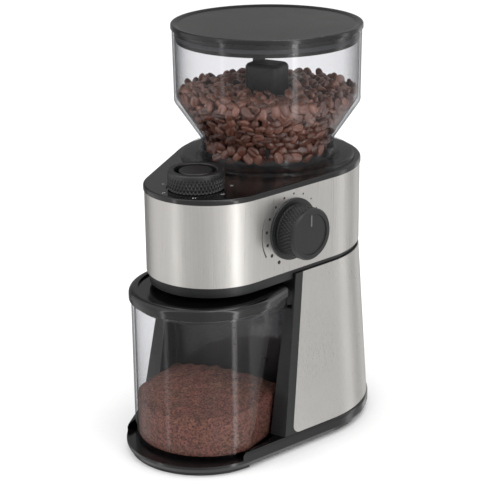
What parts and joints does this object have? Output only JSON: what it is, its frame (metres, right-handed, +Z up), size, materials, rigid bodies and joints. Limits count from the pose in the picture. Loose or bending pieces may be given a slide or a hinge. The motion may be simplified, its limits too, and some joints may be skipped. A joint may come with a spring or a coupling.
{
  "type": "burr coffee grinder",
  "caption": "Electric burr coffee grinder with a clear bean hopper over a brushed steel column, side grind dial, top cups dial with start button and a clear slide-out grounds container.",
  "frame": {"origin": "on the surface it stands on, under the middle of the base", "axes": "+Z up, front with the grounds container towards -Y, grind dial on +X"},
  "size_m": [0.176, 0.238, 0.315],
  "materials": {
    "black_gloss": "gloss moulded ABS",
    "black_satin": "satin moulded ABS",
    "brushed_steel": "vertically brushed stainless sheet",
    "clear_plastic": "clear moulded SAN",
    "rubber": "moulded rubber",
    "silicone": "translucent silicone",
    "nylon": "glass-filled nylon",
    "machine_steel": "ground steel",
    "plated_steel": "zinc plated",
    "brass": "machined",
    "circuit_board": "coated board",
    "white_mark": "inlaid line"
  },
  "bodies": {
    "housing": {"base_tray": "black_gloss", "base_plate": "black_satin", "base_screws": "machine_steel", "rubber_feet": "rubber", "column_frame": "black_satin", "rear_panel": "brushed_steel", "cord_gland": "black_satin", "container_switch": "black_satin", "head_housing": "black_satin", "head_band": "brushed_steel", "top_cover": "black_gloss", "cover_screws": "machine_steel", "grind_chamber": "nylon", "chamber_screws": "machine_steel", "grounds_chute": "nylon", "bean_funnel": "nylon", "gearbox_housing": "nylon", "gearbox_cover": "nylon", "gearcase_screws": "machine_steel", "gearbox_mount_screws": "machine_steel", "shaft_bearings": "machine_steel", "gear_axle": "machine_steel", "motor_can": "plated_steel", "motor_end_cap": "black_satin", "motor_magnets": "machine_steel", "dial_bezel": "black_satin", "timer_pot": "black_satin", "start_switch": "black_satin", "control_board": "circuit_board"},
    "motor_rotor": {"motor_shaft": "machine_steel", "armature": "machine_steel", "motor_pinion": "brass"},
    "gear_cluster": {"compound_gear": "nylon"},
    "burr_drive": {"output_gear": "nylon", "burr_shaft": "machine_steel", "lower_burr": "machine_steel", "sweeper": "nylon"},
    "ring": {"adjusting_ring": "nylon"},
    "carrier": {"burr_carrier": "nylon", "upper_burr": "machine_steel", "carrier_spring": "machine_steel"},
    "dial": {"grind_dial": "black_satin", "dial_pointer": "white_mark", "dial_shaft": "machine_steel", "dial_bevel": "nylon"},
    "idler": {"idler_gear": "nylon"},
    "cups_knob": {"cups_dial": "black_gloss"},
    "button": {"start_button": "black_satin", "button_spring": "machine_steel"},
    "lock_ring": {"hopper_lock_ring": "nylon"},
    "hopper": {"hopper_bowl": "clear_plastic", "bean_guard": "black_satin"},
    "lid": {"hopper_lid": "black_gloss", "lid_seal": "silicone"},
    "grounds_bin": {"container": "clear_plastic", "container_lid": "black_gloss", "container_seal": "silicone"},
    "interlock": {"interlock_pin": "black_satin"}
  },
  "joints": [
    {"name": "burr_spin", "type": "hinge", "parent": "housing", "child": "burr_drive", "pos_m": [0, 0.044, 0.12], "axis": [0, 0, 1], "continuous": true},
    {"name": "gear_cluster_spin", "type": "hinge", "parent": "housing", "child": "gear_cluster", "pos_m": [0, 0.017, 0.11], "axis": [0, 0, 1], "continuous": true},
    {"name": "motor_spin", "type": "hinge", "parent": "housing", "child": "motor_rotor", "pos_m": [0, 0.044, 0.06], "axis": [0, 0, 1], "continuous": true},
    {"name": "grind_dial_turn", "type": "hinge", "parent": "housing", "child": "dial", "pos_m": [0.05806, -0.01885, 0.1739], "axis": [0.9621, -0.2726, 0], "range_deg": [-135, 135]},
    {"name": "idler_turn", "type": "hinge", "parent": "housing", "child": "idler", "pos_m": [0, -0.0024, 0.18], "axis": [0, 0, 1], "range_deg": [-136, 136]},
    {"name": "adjusting_ring_turn", "type": "hinge", "parent": "housing", "child": "ring", "pos_m": [0, 0.044, 0.186], "axis": [0, 0, 1], "range_deg": [-28.5, 28.5]},
    {"name": "carrier_lift", "type": "slide", "parent": "housing", "child": "carrier", "axis": [0, 0, 1], "range_m": [-0.00102, 0.00102]},
    {"name": "cups_dial_turn", "type": "hinge", "parent": "housing", "child": "cups_knob", "pos_m": [0, -0.0617, 0.215], "axis": [0, 0, 1], "range_deg": [-140, 140]},
    {"name": "start_button_press", "type": "slide", "parent": "housing", "child": "button", "axis": [0, 0, -1], "range_m": [0, 0.002], "stiffness_N_per_m": 500, "springref_m": -0.002, "deforming": ["button_spring"]},
    {"name": "hopper_lock_turn", "type": "hinge", "parent": "housing", "child": "lock_ring", "pos_m": [0, 0.044, 0.2], "axis": [0, 0, 1], "range_deg": [0, 30]},
    {"name": "hopper_lift", "type": "slide", "parent": "lock_ring", "child": "hopper", "axis": [0, 0, 1], "range_m": [0, 0.09]},
    {"name": "lid_lift", "type": "slide", "parent": "hopper", "child": "lid", "axis": [0, 0, 1], "range_m": [0, 0.08]},
    {"name": "container_slide", "type": "slide", "parent": "housing", "child": "grounds_bin", "axis": [0, -1, 0], "range_m": [0, 0.15]},
    {"name": "interlock_press", "type": "slide", "parent": "housing", "child": "interlock", "axis": [0, -1, 0], "range_m": [0, 0.0021]}
  ],
  "couplings": [
    {"joint": "gear_cluster_spin", "follows": "burr_spin", "ratio": -2.8571},
    {"joint": "motor_spin", "follows": "burr_spin", "ratio": 10},
    {"joint": "idler_turn", "follows": "grind_dial_turn", "ratio": -1},
    {"joint": "adjusting_ring_turn", "follows": "grind_dial_turn", "ratio": 0.20833},
    {"joint": "carrier_lift", "follows": "grind_dial_turn", "m_per_rad": 0.00042441},
    {"joint": "interlock_press", "follows": "container_slide", "ratio": 0.013333}
  ]
}
